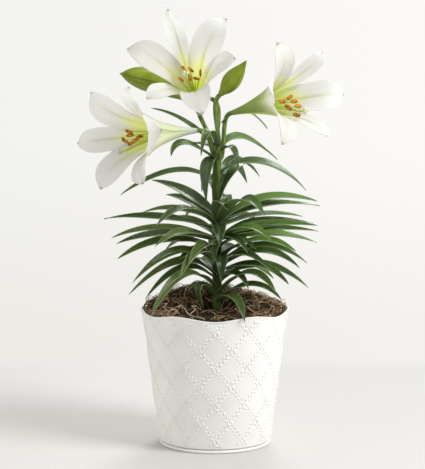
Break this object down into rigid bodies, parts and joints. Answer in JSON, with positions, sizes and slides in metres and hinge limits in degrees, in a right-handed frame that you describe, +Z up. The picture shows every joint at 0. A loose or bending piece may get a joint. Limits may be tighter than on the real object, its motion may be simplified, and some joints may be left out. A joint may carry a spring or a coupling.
{
  "type": "potted easter lily",
  "caption": "Potted easter lily: a leafy upright stem with open white trumpet flowers and green buds, in a tapered white tin planter with a raised trellis and a moss top dressing.",
  "frame": {"origin": "centre of the planter's flat underside, on the surface that it stands on", "axes": "+Z up along the planter's axis, -Y towards the viewer and the flowers' faces, +X to the viewer's right"},
  "size_m": [0.2878, 0.2632, 0.4888],
  "materials": {
    "tin": "warm white satin paint on pressed tin",
    "soil": "dark crumbly potting mix",
    "moss": "dried brown tangled fibres",
    "leaf": "glossy dark green leaf with parallel veins",
    "tepal": "soft waxy white, yellow-green towards the throat",
    "stamen": "pale green, smooth",
    "anther": "orange pollen, powdery",
    "bud": "smooth yellow-green"
  },
  "bodies": {
    "root": {"pot": "tin", "soil": "soil", "moss": "moss", "leafy_stem": "leaf", "bloom_left": "tepal", "stamens_left": "stamen", "anther_left_1": "anther", "anther_left_2": "anther", "anther_left_3": "anther", "anther_left_4": "anther", "anther_left_5": "anther", "anther_left_6": "anther", "bloom_top": "tepal", "stamens_top": "stamen", "anther_top_1": "anther", "anther_top_2": "anther", "anther_top_3": "anther", "anther_top_4": "anther", "anther_top_5": "anther", "anther_top_6": "anther", "bloom_right": "tepal", "stamens_right": "stamen", "anther_right_1": "anther", "anther_right_2": "anther", "anther_right_3": "anther", "anther_right_4": "anther", "anther_right_5": "anther", "anther_right_6": "anther", "bud_left": "bud", "bud_right": "bud"}
  },
  "joints": []
}
